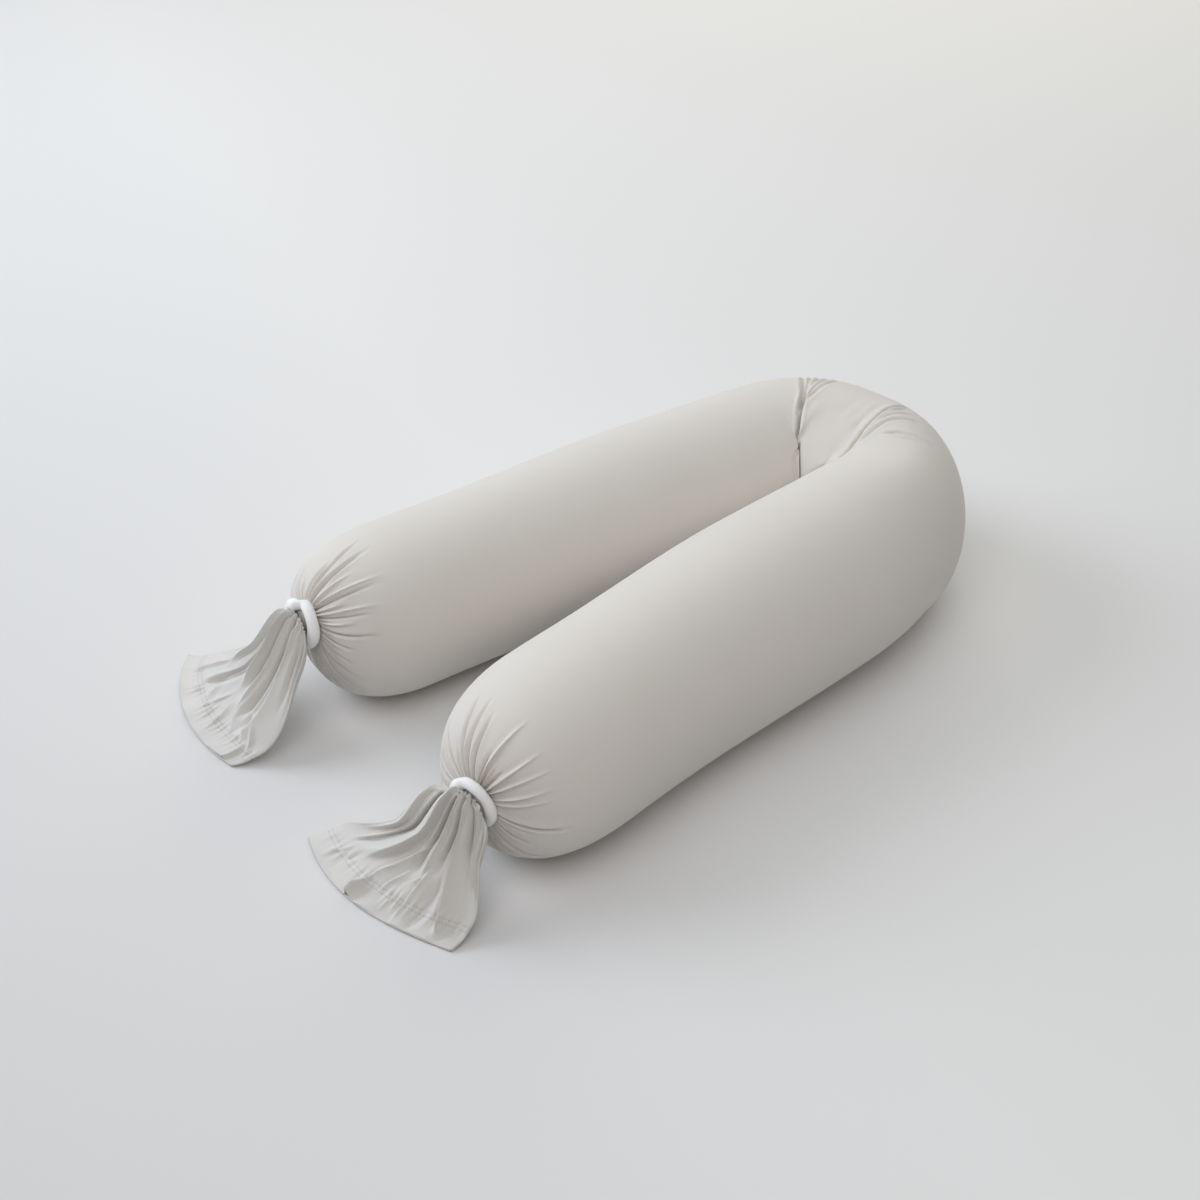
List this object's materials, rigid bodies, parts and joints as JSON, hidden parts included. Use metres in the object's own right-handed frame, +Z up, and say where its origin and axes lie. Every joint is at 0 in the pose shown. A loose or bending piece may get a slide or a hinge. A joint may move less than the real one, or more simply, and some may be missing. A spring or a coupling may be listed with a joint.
{
  "type": "neck pillow",
  "caption": "Long filled bolster in a stretch jersey cover, folded into a U, its ends gathered through soft round bands into flared, hemmed tails.",
  "frame": {"origin": "on the surface that the pillow lies on, under the middle of its outline", "axes": "+Z up, +Y from the two tied ends towards the bend, +X from the leg with the longer run at the bend's sharp corner to the other leg"},
  "size_m": [0.5308, 0.8294, 0.1829],
  "materials": {
    "cover": "light warm grey stretch jersey, smooth and matt",
    "band": "soft white elastic band, matt"
  },
  "bodies": {
    "root": {"cover": "cover", "band_far": "band", "band_near": "band"}
  },
  "joints": []
}
